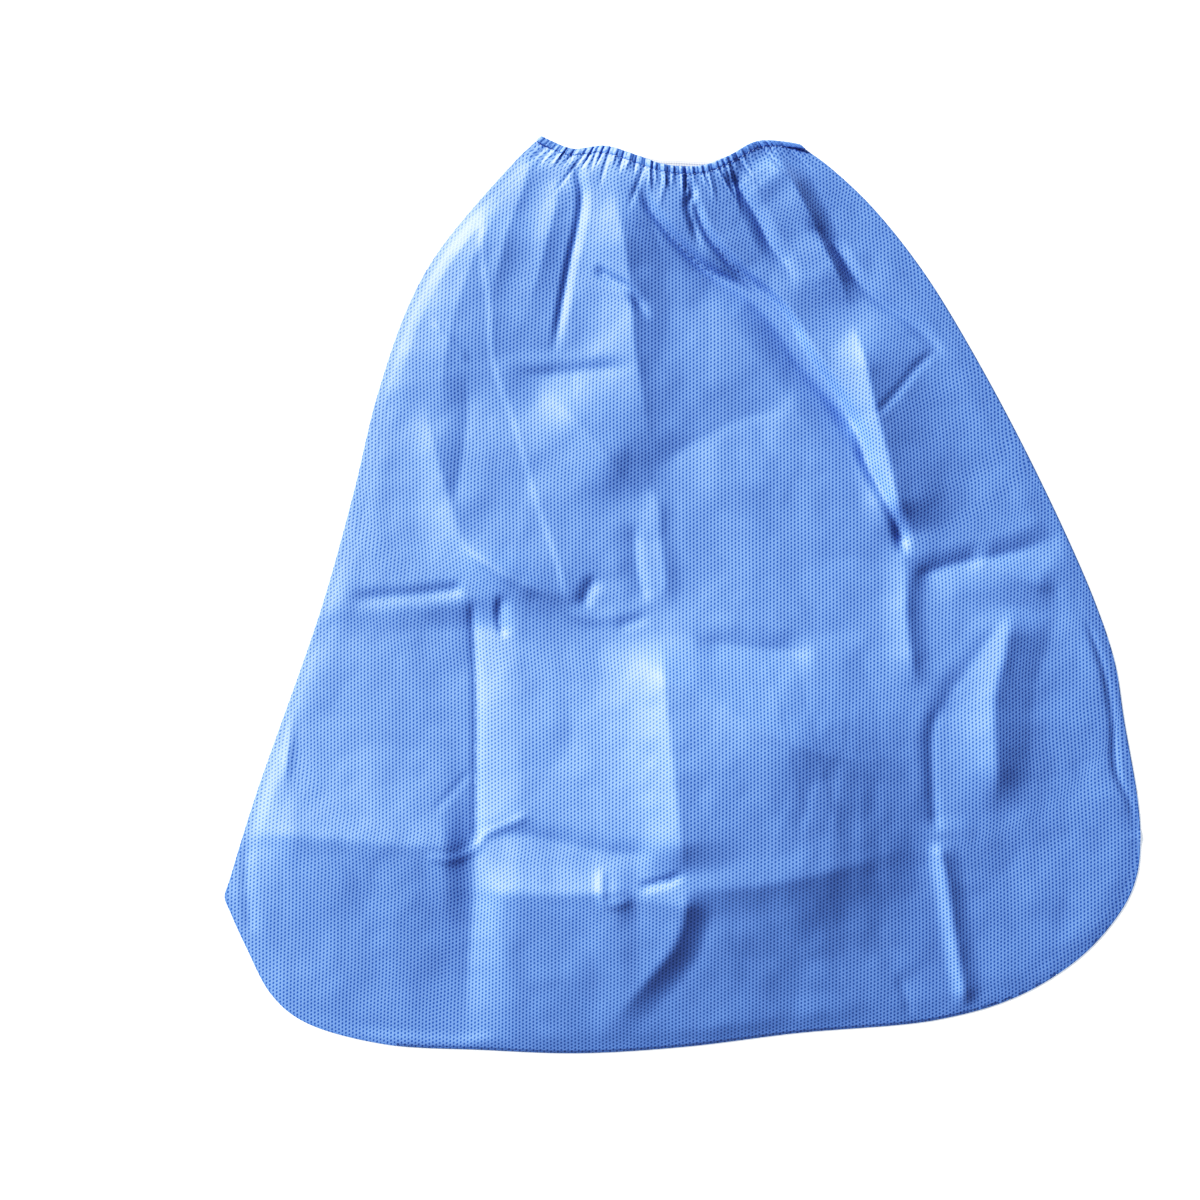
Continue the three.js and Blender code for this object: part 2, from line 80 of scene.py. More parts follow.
def line_through(points, count):
    """Centripetal Catmull-Rom curve through the points, as count points spaced evenly along it."""
    p = np.asarray(points, float)
    p = np.vstack([2 * p[0] - p[1], p, 2 * p[-1] - p[-2]])
    a, b, c, d = (p[k:len(p) - 3 + k, None] for k in range(4))
    t1 = np.linalg.norm(b - a, axis=2, keepdims=True) ** 0.5
    t2 = t1 + np.linalg.norm(c - b, axis=2, keepdims=True) ** 0.5
    t3 = t2 + np.linalg.norm(d - c, axis=2, keepdims=True) ** 0.5
    t = t1 + np.linspace(0, 1, CURVE_STEPS + 1)[None, :, None] * (t2 - t1)
    ab = (t1 - t) / t1 * a + t / t1 * b
    bc = (t2 - t) / (t2 - t1) * b + (t - t1) / (t2 - t1) * c
    cd = (t3 - t) / (t3 - t2) * c + (t - t2) / (t3 - t2) * d
    abc = (t2 - t) / t2 * ab + t / t2 * bc
    bcd = (t3 - t) / (t3 - t1) * bc + (t - t1) / (t3 - t1) * cd
    line = ((t2 - t) / (t2 - t1) * abc + (t - t1) / (t2 - t1) * bcd)[:, :-1].reshape(-1, 2)
    line = np.vstack([line, p[-2]])
    length = np.append(0, np.cumsum(np.hypot(*np.diff(line, axis=0).T)))
    even = np.linspace(0, length[-1], count)
    return np.stack([np.interp(even, length, line[:, k]) for k in (0, 1)], 1)


def place_on(line, share):
    """Point of an evenly spaced line at a share of its length."""
    at = np.linspace(0, 1, len(line))
    return np.stack([np.interp(share, at, line[:, k]) for k in (0, 1)], -1)


mouth_line = line_through(MOUTH, MOUTH_POINTS)


def hem_place(across, down):
    """Point of the hem: down mm below the mouth line, along a direction that fans out by 46
    degrees at each end of the mouth."""
    top = place_on(mouth_line, across)
    fan = HEM_FAN * (2 * across - 1)
    return top + np.stack([down * np.sin(fan), -down * np.cos(fan)], -1)


heel_corner, toe_corner = hem_place(np.array([0.0, 1.0]), PANEL_START)
seam = line_through(
    [heel_corner, *HEEL_SIDE, HEEL_CORNER, *SOLE, TOE_CORNER, *TOE_SIDE[::-1], toe_corner],
    SEAM_POINTS,
)
heel_end, toe_end = (np.hypot(*(seam - corner).T).argmin() for corner in (HEEL_CORNER, TOE_CORNER))
heel_line = seam[:heel_end + 1]
sole_line = seam[heel_end:toe_end + 1]
toe_line = seam[toe_end:][::-1]


def panel_place(across, along):
    """Coons patch: the four edges blended by across and along, less the four corners."""
    u, v = across[..., None], along[..., None]
    edges = (1 - v) * hem_place(across, PANEL_START) + v * place_on(sole_line, across)
    edges += (1 - u) * place_on(heel_line, along) + u * place_on(toe_line, along)
    corners = (1 - v) * ((1 - u) * heel_corner + u * toe_corner)
    corners += v * ((1 - u) * sole_line[0] + u * sole_line[-1])
    return edges - corners


def beside(x, y, line):
    """Signed distance from a line, positive on its left, and the share along it of the nearest
    point: the least over its segments of the distance to the foot of the perpendicular."""
    best = np.full(x.shape, np.inf)
    share = np.zeros(x.shape)
    side = np.ones(x.shape)
    for k, ((ax, ay), (dx, dy)) in enumerate(zip(line, np.diff(line, axis=0))):
        t = np.clip(((x - ax) * dx + (y - ay) * dy) / (dx * dx + dy * dy), 0, 1)
        ex, ey = x - ax - t * dx, y - ay - t * dy
        away = np.hypot(ex, ey)
        near = away < best
        best[near] = away[near]
        share[near] = (k + t[near]) / (len(line) - 1)
        side[near] = np.where(dx * ey - dy * ex < 0, -1, 1)[near]
    return best * side, share


# Creases and folds, each along a path from the sole up or from the heel side to the toe side.
# Columns: name, height, width of the left and of the right slope, length over which it comes
# up and runs out, path. All in mm; a negative height is a valley.
FOLDS = [
    ("calf crease low", 4.7, 28, 40, 16, 26, [(0, -122), (-3, -90), (-6, -64), (-8, -42), (-9, -16)]),
    ("calf crease top", 3.4, 24, 22, 60, 30,
     [(-12, 54), (-16, 75), (-19, 95), (-21, 106), (-23, 132), (-25, 150), (-28, 164), (-31, 180)]),
    ("calf pocket", -1.2, 12, 10, 20, 8, [(-7, 142), (-12, 157), (-17, 170), (-20, 181)]),
    ("calf tick", -1.8, 3.5, 4, 6, 10, [(-39, 143), (-33, 138), (-24, 133), (-21, 129), (-14, 119)]),
    ("knot strip", 1.1, 10, 8, 10, 12, [(-12, -3), (-8, 3), (-10, 24), (-11, 39), (-17, 46)]),
    ("knot hollow", -1.2, 10, 5, 8, 10, [(-15, -5), (-19, 6), (-21, 22), (-21, 33)]),
    ("shin pleat edge", 0.55, 2.2, 26, 14, 14,
     [(-49, -5), (-55, 17), (-63, 40), (-67, 54), (-72, 72), (-79, 91), (-83, 106), (-84, 128),
      (-87, 147), (-87, 168)]),
    ("shin pleat", 1.2, 14, 11, 24, 8, [(-84, 126), (-81, 140), (-76, 160), (-69, 179), (-66, 194)]),
    ("shin lobe", 1.2, 13, 11, 34, 8, [(-71, 116), (-65, 133), (-59, 155), (-55, 172), (-55, 182)]),
    ("shin cross crease", -1.5, 6, 24, 16, 16, [(-78, 97), (-60, 96), (-41, 98), (-20, 99)]),
    ("shin facet", 4.2, 38, 40, 24, 26, [(-19, 41), (-35, 62), (-52, 80), (-65, 90)]),
    ("shin swell", 2.6, 40, 44, 30, 20, [(-106, 72), (-103, 107), (-93, 142), (-78, 174)]),
    ("shin tick", 0.8, 2, 3, 6, 6, [(-110, 120), (-101, 110), (-92, 101)]),
    ("shin hollow", -1.6, 30, 30, 20, 24, [(-17, 48), (1, 64), (25, 76), (51, 83)]),
    ("gather valley", -1.6, 3.2, 4.2, 22, 8,
     [(-57, 102), (-54, 119), (-49, 146), (-46, 159), (-44, 173), (-45, 180), (-48, 192)]),
    ("front crease", -6.0, 16, 8, 70, 78,
     [(90, 46), (73, 74), (56, 97), (42, 116), (31, 129), (22, 135), (11, 141), (-5, 156), (-14, 168),
      (-19, 177)]),
    ("front valley", -3.4, 8, 4, 30, 60,
     [(85, 54), (75, 73), (66, 88), (56, 101), (51, 109), (45, 120), (38, 129), (31, 135), (21, 144),
      (14, 152), (9, 159), (6, 167)]),
    ("front crease line", -2.4, 3.6, 3.4, 10, 10,
     [(51, 106), (41, 119), (31, 129), (22, 135), (11, 141), (-5, 156), (-14, 168), (-19, 177)]),
    ("front valley line", -2.4, 3.4, 3.4, 10, 8,
     [(54, 109), (45, 121), (38, 129), (31, 135), (21, 144), (14, 152), (9, 159), (6, 167), (3, 174)]),
    ("middle pleat", -1.6, 3.2, 3.2, 12, 6, [(8, 149), (5, 159), (2, 170), (4, 174), (1, 183)]),
    ("toe side pleat", -3.0, 6, 6, 30, 8,
     [(49, 131), (45, 143), (38, 152), (32, 164), (26, 174), (19, 185)]),
    ("instep edge", 4.0, 34, 8, 24, 14,
     [(73, 122), (69, 136), (62, 150), (56, 164), (52, 171), (48, 179), (41, 186), (35, 194)]),
    ("instep ridge", 5.8, 16, 38, 18, 26, [(95, 24), (90, 54), (83, 82), (78, 106), (73, 122)]),
    ("instep valley", -2.2, 5, 5, 16, 14,
     [(115, 103), (108, 111), (99, 119), (86, 128), (75, 138), (66, 152), (58, 159), (54, 167)]),
    ("instep tick", -0.9, 3, 2.5, 6, 10, [(83, 77), (93, 88), (102, 99), (112, 108)]),
    ("instep slit", -2.8, 4.5, 5, 10, 14, [(96, 15), (94, 28), (88, 41), (81, 55), (74, 72)]),
    ("instep rib", 2.4, 12, 9, 18, 34, [(101, -43), (97, -9), (97, 10), (93, 28)]),
    ("instep cross crease", -2.4, 9, 14, 10, 14, [(99, 7), (122, 14), (147, 19), (169, 28)]),
    ("heel valley upper", -1.0, 10, 14, 16, 16, [(-101, 34), (-97, 55), (-94, 81), (-95, 99)]),
    ("heel ridge", 2.2, 18, 26, 30, 26, [(-91, 14), (-98, 30), (-104, 49), (-110, 71), (-112, 87)]),
    ("heel valley lower", -3.8, 110, 20, 8, 16,
     [(-95, -197), (-95, -186), (-94, -168), (-91, -133), (-90, -104), (-90, -77), (-90, -46), (-92, 0)]),
    ("heel valley line", -0.9, 3, 4, 6, 6, [(-90, -109), (-90, -77), (-90, -46), (-92, -2)]),
    ("heel cross crease", 4.6, 46, 60, 24, 14, [(-192, -104), (-155, -106), (-124, -109), (-91, -109)]),
    ("heel tick", -0.5, 3, 3, 5, 5, [(-109, -95), (-99, -84), (-92, -76)]),
    ("heel pull", 0.9, 2, 3, 5, 6,
     [(-112, -113), (-102, -115), (-90, -110), (-87, -105), (-77, -100), (-66, -95)]),
    ("heel strip", -1.0, 5, 6, 6, 6, [(-189, -149), (-190, -133), (-192, -106)]),
    ("heel streak", 0.7, 3, 4, 10, 14, [(-174, -85), (-172, -66), (-171, -46)]),
    ("heel dimple", -1.8, 3, 6, 6, 6, [(-78, -20), (-80, -9), (-79, 1)]),
    ("ankle ridge", 6.6, 30, 24, 50, 50, [(-110, 41), (-91, 17), (-67, 3), (-36, -2)]),
    ("ankle roll", 0.8, 7, 5, 14, 24, [(-96, 19), (-80, 12), (-62, 1), (-48, -9), (-32, -10), (-17, -4)]),
    ("ankle crease", -1.6, 5, 7, 12, 6, [(-148, -2), (-118, 0), (-94, 3)]),
    ("ankle dimple", -1.4, 6, 5, 5, 6, [(-44, -7), (-41, 2), (-37, 9)]),
    ("ankle tuck", -0.7, 4, 4, 6, 6, [(-31, -15), (-22, -12), (-14, -9)]),
    ("sole cross crease", -1.3, 8, 24, 10, 10,
     [(-87, -106), (-71, -104), (-54, -107), (-36, -111), (-12, -112)]),
    ("sole ridge", 1.8, 14, 60, 12, 12, [(-89, -130), (-54, -130), (-19, -128)]),
    ("sole arch", 3.2, 56, 12, 50, 10,
     [(-41, -195), (-31, -186), (-17, -169), (-4, -152), (0, -140), (2, -126)]),
    ("sole tuck", -1.6, 3, 3, 6, 6, [(-21, -127), (-12, -125), (-3, -122), (0, -119)]),
    ("sole pucker", 1.0, 3, 4, 6, 6, [(-35, -117), (-34, -133), (-21, -132)]),
    ("sole tick", -0.5, 3, 4, 6, 6, [(100, -186), (97, -176), (93, -164)]),
    ("mid ridge", 8.6, 40, 112, 110, 90, [(-41, -20), (3, -42), (34, -59), (69, -71), (108, -69)]),
    ("mid dip", -1.6, 10, 14, 14, 14, [(3, -20), (29, -23), (58, -25)]),
    ("toe cross crease", 9.0, 134, 84, 190, 70, [(-154, -126), (-36, -129), (42, -124), (110, -106)]),
    ("toe lower crease", 2.4, 6, 9, 12, 8,
     [(124, -183), (121, -166), (117, -143), (114, -124), (110, -106)]),
    ("toe strip line", -0.6, 5, 4, 10, 10, [(110, -106), (108, -77), (108, -58), (112, -46)]),
    ("toe panel crease", -1.0, 8, 24, 10, 14,
     [(110, -105), (108, -77), (110, -55), (125, -30), (142, -6)]),
    ("toe panel ridge", 4.0, 21, 27, 22, 14, [(135, -95), (136, -77), (135, -46), (140, -24), (144, -4)]),
    ("toe panel valley", -0.6, 14, 24, 18, 24,
     [(152, -90), (151, -64), (154, -37), (161, -16), (164, -2), (156, 9)]),
    ("toe top ridge", 1.8, 12, 13, 8, 10, [(125, 18), (138, 12), (152, 5), (164, 2)]),
    ("toe edge valley", -1.3, 3, 4, 14, 14,
     [(197, -103), (196, -92), (189, -77), (188, -55), (183, -30), (175, -9)]),
]
FOLD_POINTS = 21
FOLD_SHARPNESS = 1.75
FOLD_KINK = 0.7

# Near the hem the folds are lower: this share of their height is left at the hem, and all of it
# at this share of the way down to the sole.
FOLDS_AT_HEM = 0.3
HEM_CALM = 0.03

# Broad swells of the pouch. Columns: name, middle x and y, half widths, height, in mm.
SWELLS = [
    ("foot swell", 46, -70, 95, 56, 5.0),
    ("heel swell", -126, -72, 70, 70, 2.0),
]

# The seamed edge and its roll. The top of the cloth is so low at the edge that the seam margin
# and the lower panel cut into it there. The loft comes up over its reach from the heel side, the
# sole and the toe side, in that order, and folds and crumple over 8 mm from the edge.
EDGE_HEIGHT = 0.42
EDGE_ROLL = 0.12
EDGE_ROLL_REACH = 1.4
LOFT = 7.6
LOFT_REACH = (180, 90, 170)
EDGE_CALM = 8

# The mouth stands open. Its shoulders are shares of the mouth's length, its reach a share of the
# way down to the sole.
MOUTH_RISE = 6.8
MOUTH_REACH = 0.2
HEEL_SHOULDER = 0.5
TOE_SHOULDER = 0.36
MOUTH_TO_SOLE = 385

# The print of the seam margin, as a step down where the margin ends.
SEAM_IMPRINT = 0.1
SEAM_IMPRINT_AT = 5.6
SEAM_IMPRINT_BLUR = 1.0
SEAM_IMPRINT_START = 1.5

# Crumple of the cloth. Columns: height, size of a lump, seed of its noise. The soft one swells
# and sinks, the ridged one has sharp valleys.
SOFT_CRUMPLE = [(0.3, 17, 1), (0.12, 7, 2), (0.02, 2.6, 3)]
RIDGED_CRUMPLE = [(0.5, 31, 8), (0.2, 15, 9)]

# A soft limit that keeps the panel from sinking below its own edge. It takes no account of the
# lower panel or the seam margin.
FLOOR_SOFTNESS = 1.6
FLOOR_SOFTNESS_REACH = 12


def fold_height(x, y, fold):
    """height * (1 - distance / width)^1.75, its kink rounded off over 0.7 mm, eased in and out
    at the two ends of the path."""
    _, height, left, right, start, end, path = fold
    line = line_through(path, FOLD_POINTS)
    length = np.hypot(*np.diff(line, axis=0).T).sum()
    distance, share = beside(x, y, line)
    width = np.where(distance > 0, left, right)
    rounded = np.sqrt(distance ** 2 + FOLD_KINK ** 2) - FOLD_KINK * 0.5
    slope = np.clip(1 - rounded / width, 0, 1) ** FOLD_SHARPNESS
    return height * slope * smooth(share * length / start) * smooth((1 - share) * length / end)


LATTICE = 512


def lumps(x, y, size, seed):
    """Smooth noise from -1 to 1: random values on a square lattice of that size in mm, joined
    by the easing curve in x and in y."""
    values = np.random.default_rng(seed).uniform(-1, 1, (LATTICE, LATTICE))
    gx, gy = x / size + LATTICE // 2, y / size + LATTICE // 2
    i, j = np.floor(gx).astype(int), np.floor(gy).astype(int)
    s, t = smooth(gx - i), smooth(gy - j)
    i, j = i % (LATTICE - 1), j % (LATTICE - 1)
    low = values[i, j] * (1 - s) + values[i + 1, j] * s
    high = values[i, j + 1] * (1 - s) + values[i + 1, j + 1] * s
    return low * (1 - t) + high * t


# Gathers: two in three are valleys. Widths and drifts are shares of the mouth's length, heights
# and reaches are in mm, and most reaches are short.
GATHER_COUNT = 42
GATHER_SEED = 7
GATHER_WIDTHS = (0.00765, 0.0153)
GATHER_HEIGHTS = (0.35, 0.85)
GATHER_DRIFT = 0.0012
LEAST_REACH, SPARE_REACH, REACH_POWER = 6, 26, 2.5
GATHER_SHARPNESS = 1.6
GATHER_RUN_OUT = 0.6
GATHER_CALM = 6


def gather_height(across, down):
    """Short valleys and ridges that run down from the hem, at places across the mouth drawn once
    from a seeded list: (1 - distance / width)^1.6 across, easing out over the last 0.6 of each
    one's reach."""
    draw = np.random.default_rng(GATHER_SEED)
    places = (np.arange(GATHER_COUNT) + draw.uniform(0.1, 0.9, GATHER_COUNT)) / GATHER_COUNT
    widths = draw.uniform(*GATHER_WIDTHS, GATHER_COUNT)
    reaches = LEAST_REACH + SPARE_REACH * draw.uniform(0, 1, GATHER_COUNT) ** REACH_POWER
    heights = draw.uniform(*GATHER_HEIGHTS, GATHER_COUNT) * draw.choice([-1, -1, 1], GATHER_COUNT)
    drifts = draw.uniform(-GATHER_DRIFT, GATHER_DRIFT, GATHER_COUNT)
    total = np.zeros(across.shape)
    for place, width, reach, height, drift in zip(places, widths, reaches, heights, drifts):
        slope = np.clip(1 - np.abs(across - place - drift * down) / width, 0, 1)
        run_out = smooth((reach - down) / (GATHER_RUN_OUT * reach))
        total += height * slope ** GATHER_SHARPNESS * run_out
    return total


EDGE_STEP = 16


def upper_height(x, y, across, along):
    """Height of the upper panel in mm: the rolled edge, plus a height h that is the sum of the
    loft, the rise to the mouth, folds, swells, the seam's print, gathers and crumple. The loft is
    the product over the three seamed edges of 1 - (1 - inset / reach)^2. The soft limit takes h
    to (h + the root of h^2 + softness^2) / 2, which is never below 0."""
    edges = (heel_line[::EDGE_STEP], sole_line[::EDGE_STEP], toe_line[::EDGE_STEP])
    insets = [np.abs(beside(x, y, edge)[0]) for edge in edges]
    inset = np.minimum.reduce(insets)
    dome = np.ones(x.shape)
    for away, reach in zip(insets, LOFT_REACH):
        dome *= 1 - (1 - np.minimum(away / reach, 1)) ** 2
    roll = 1 - (1 - np.minimum(inset / EDGE_ROLL_REACH, 1)) ** 2
    edge = EDGE_HEIGHT + EDGE_ROLL * roll ** 0.5
    height = LOFT * dome
    ends = smooth(across / HEEL_SHOULDER) * smooth((1 - across) / TOE_SHOULDER)
    height += MOUTH_RISE * ends * smooth(1 - along / MOUTH_REACH)
    folds = np.zeros(x.shape)
    for fold in FOLDS:
        folds += fold_height(x, y, fold)
    folds *= FOLDS_AT_HEM + (1 - FOLDS_AT_HEM) * smooth(along / HEM_CALM)
    for _, middle_x, middle_y, half_x, half_y, swell in SWELLS:
        away = np.hypot((x - middle_x) / half_x, (y - middle_y) / half_y)
        folds += swell * np.exp(-away * away)
    height += folds * smooth(inset / EDGE_CALM)
    past_margin = smooth((inset - SEAM_IMPRINT_AT) / SEAM_IMPRINT_BLUR + 0.5)
    height += SEAM_IMPRINT * (1 - past_margin) * smooth(inset / SEAM_IMPRINT_START)
    height += gather_height(across, along * MOUTH_TO_SOLE) * smooth(inset / GATHER_CALM)
    crumple = sum(high * lumps(x, y, size, seed) for high, size, seed in SOFT_CRUMPLE)
    for (high, size, seed), (a, b) in zip(RIDGED_CRUMPLE, ((x, y), (y, x))):
        crumple += high * np.abs(lumps(a, b, size, seed))
    height += crumple * smooth(inset / EDGE_CALM)
    softness = FLOOR_SOFTNESS * smooth(inset / FLOOR_SOFTNESS_REACH)
    return edge + (height + np.sqrt(height ** 2 + softness ** 2)) / 2


CLOTH_THICKNESS = 0.3
UPPER_COLUMNS, UPPER_ROWS = 300, 256


def cloth_map(points):
    """Place of each grid point on the flat cloth: its place from above, plus what the slopes
    add to the length of the grid lines out from the middle of the sheet."""
    flat = points[..., :2].copy()
    for axis in (0, 1):
        step = np.diff(points, axis=1 - axis)
        extra = np.linalg.norm(step, axis=2) - np.linalg.norm(step[..., :2], axis=2)
        extra = np.cumsum(extra, axis=1 - axis)
        pad = [(0, 0), (1, 0)] if axis == 0 else [(1, 0), (0, 0)]
        extra = np.pad(extra, pad)
        middle = extra.shape[1 - axis] // 2
        centre = np.take(extra, [middle], axis=1 - axis)
        flat[..., axis] += (extra - centre) * (1 if axis == 0 else -1)
    return flat


def grid_quads(columns, rows, first=0, upwards=True):
    """Corner numbers of the facets of a grid whose points run along its columns, row by row."""
    corner = first + np.arange(rows)[:, None] * (columns + 1) + np.arange(columns)
    corner = corner.reshape(-1, 1)
    offsets = [0, columns + 1, columns + 2, 1]
    return corner + (offsets if upwards else offsets[::-1])


def grid_border(columns, rows, step=1, first=0):
    """Point numbers once round the grid: down the first column, along the last row and back."""
    wide = columns + 1
    down = np.arange(0, rows, step) * wide
    along = rows * wide + np.arange(0, columns, step)
    up = np.arange(rows, 0, -step) * wide + columns
    back = np.arange(columns, 0, -step)
    return first + np.concatenate([down, along, up, back])


# Cut edges of the cloth stay sharp: there, faces meet at more than this angle, in radians.
SHARP_ANGLE = 1.3


def mesh_piece(name, points, faces, flat=None):
    """A mesh from points in mm and lists of faces, smooth-shaded but for its cut edges. The
    places of its points on the flat cloth, in metres, are its UV map."""
    mesh = bpy.data.meshes.new(name)
    mesh.from_pydata((np.asarray(points) * MM).tolist(), [], [f for part in faces for f in part.tolist()])
    mesh.shade_smooth()
    mesh.set_sharp_from_angle(angle=SHARP_ANGLE)
    if flat is not None:
        corners = np.empty(len(mesh.loops), int)
        mesh.loops.foreach_get("vertex_index", corners)
        layer = mesh.uv_layers.new(name="cloth")
        layer.uv.foreach_set("vector", (flat[corners] * MM).astype(np.float32).ravel())
    mesh.validate()
    piece = bpy.data.objects.new(name, mesh)
    bpy.context.scene.collection.objects.link(piece)
    return piece


def sheet_piece(name, top, thickness):
    """A closed sheet: the upper surface, its under side straight below it at every second point,
    and a border that joins the two."""
    rows, columns = top.shape[0] - 1, top.shape[1] - 1
    under = (top - (0, 0, thickness))[::2, ::2]
    flat = cloth_map(top)
    points = np.vstack([top.reshape(-1, 3), under.reshape(-1, 3)])
    places = np.vstack([flat.reshape(-1, 2), flat[::2, ::2].reshape(-1, 2)])
    first = (rows + 1) * (columns + 1)
    outer = grid_border(columns, rows)
    inner = grid_border(columns // 2, rows // 2, 1, first)
    here, between, after = outer[::2], outer[1::2], np.roll(outer[::2], -1)
    below, below_after = inner, np.roll(inner, -1)
    edge = np.vstack([np.stack(corners, 1) for corners in (
        (here, below, between), (between, below, below_after), (between, below_after, after)
    )])
    faces = [grid_quads(columns, rows), grid_quads(columns // 2, rows // 2, first, False), edge]
    return mesh_piece(name, points, faces, places)


def panel_grid(columns, rows):
    """Shares across and along, and the places from above, of a panel's grid."""
    across, along = np.meshgrid(np.linspace(0, 1, columns + 1), np.linspace(0, 1, rows + 1))
    x, y = np.moveaxis(panel_place(across, along), -1, 0)
    return across, along, x, y


across, along, x, y = panel_grid(UPPER_COLUMNS, UPPER_ROWS)
upper_panel = sheet_piece(
    "upper_panel", np.stack([x, y, upper_height(x, y, across, along)], -1), CLOTH_THICKNESS
)


def add(tree, kind, inputs=None, **settings):
    """A shader node with its settings and its inputs: a socket is linked, anything else set."""
    node = tree.nodes.new("ShaderNode" + kind)
    for name, value in settings.items():
        setattr(node, name, value)
    for name, value in (inputs or {}).items():
        if isinstance(value, bpy.types.NodeSocket):
            tree.links.new(value, node.inputs[name])
        else:
            node.inputs[name].default_value = value
    return node


def maths(tree, operation, *values):
    """A Math node's result."""
    return add(tree, "Math", dict(enumerate(values)), operation=operation).outputs[0]


def vector_maths(tree, operation, *values):
    """A Vector Math node, of which the caller takes the output."""
    return add(tree, "VectorMath", dict(enumerate(values)), operation=operation)


def bonded_cloth_group():
    """Point-bonded spunbond cloth. Oval bonds sit in columns, each column half a step further
    along than the last. Outside the bonds the loose fibres show as fine streaks."""
    group = bpy.data.node_groups.new("bonded_cloth", "ShaderNodeTree")
    face = group.interface
    face.new_socket("Vector", in_out="INPUT", socket_type="NodeSocketVector")
    for name, value in (
        ("Column Step", 1.515), ("Bond Step", 1.655), ("Bond Width", 0.80), ("Bond Length", 1.08),
        ("Bond Turn", 0.35), ("Waver", 0.5),
    ):
        socket = face.new_socket(name, in_out="INPUT", socket_type="NodeSocketFloat")
        socket.default_value = value
    for name in ("Bonds", "Fibres", "Clouds", "Height"):
        face.new_socket(name, in_out="OUTPUT", socket_type="NodeSocketFloat")
    read = group.nodes.new("NodeGroupInput").outputs
    place = vector_maths(group, "SCALE", read["Vector"])
    place.inputs["Scale"].default_value = 1000
    place = place.outputs[0]
    drift = add(group, "TexNoise", {"Vector": place, "Scale": 0.035, "Detail": 1.0})
    drift = vector_maths(group, "SUBTRACT", drift.outputs["Color"], (0.5, 0.5, 0.5))
    drift = add(group, "VectorMath", {0: drift.outputs[0], "Scale": read["Waver"]}, operation="SCALE")
    wavered = vector_maths(group, "ADD", place, drift.outputs[0])
    split = add(group, "SeparateXYZ", {0: wavered.outputs[0]})
    column = maths(group, "DIVIDE", split.outputs["X"], read["Column Step"])
    number = maths(group, "ROUND", column)
    beside_column = maths(group, "MULTIPLY", maths(group, "SUBTRACT", column, number), read["Column Step"])
    half_step = maths(group, "FRACT", maths(group, "MULTIPLY", number, 0.5))
    row = maths(group, "ADD", maths(group, "DIVIDE", split.outputs["Y"], read["Bond Step"]), half_step)
    beside_row = maths(group, "SUBTRACT", row, maths(group, "ROUND", row))
    beside_row = maths(group, "MULTIPLY", beside_row, read["Bond Step"])
    offset = add(group, "CombineXYZ", {"X": beside_column, "Y": beside_row})
    turned = add(group, "VectorRotate", {"Vector": offset.outputs[0], "Angle": read["Bond Turn"]},
                 rotation_type="Z_AXIS")
    size = add(group, "CombineXYZ", {"X": read["Bond Width"], "Y": read["Bond Length"], "Z": 1.0})
    share = vector_maths(group, "DIVIDE", turned.outputs[0], size.outputs[0])
    reach = vector_maths(group, "LENGTH", share.outputs[0]).outputs["Value"]
    bond = add(group, "MapRange", {"Value": reach, "From Min": 0.64, "From Max": 0.34,
                                   "To Min": 0.0, "To Max": 1.0}, interpolation_type="SMOOTHSTEP")
    fibre = add(group, "TexNoise", {"Vector": place, "Scale": 1.6, "Detail": 3.0, "Roughness": 0.6,
                                    "Distortion": 1.2})
    cloud = add(group, "TexNoise", {"Vector": place, "Scale": 0.09, "Detail": 3.0, "Roughness": 0.55})
    sunk = maths(group, "MULTIPLY", bond.outputs[0], -0.8)
    height = maths(group, "ADD", sunk, maths(group, "MULTIPLY", fibre.outputs[0], 0.5))
    out = group.nodes.new("NodeGroupOutput").inputs
    for name, value in (("Bonds", bond.outputs[0]), ("Fibres", fibre.outputs[0]),
                        ("Clouds", cloud.outputs[0]), ("Height", height)):
        group.links.new(value, out[name])
    return group


bonded_cloth = bonded_cloth_group()


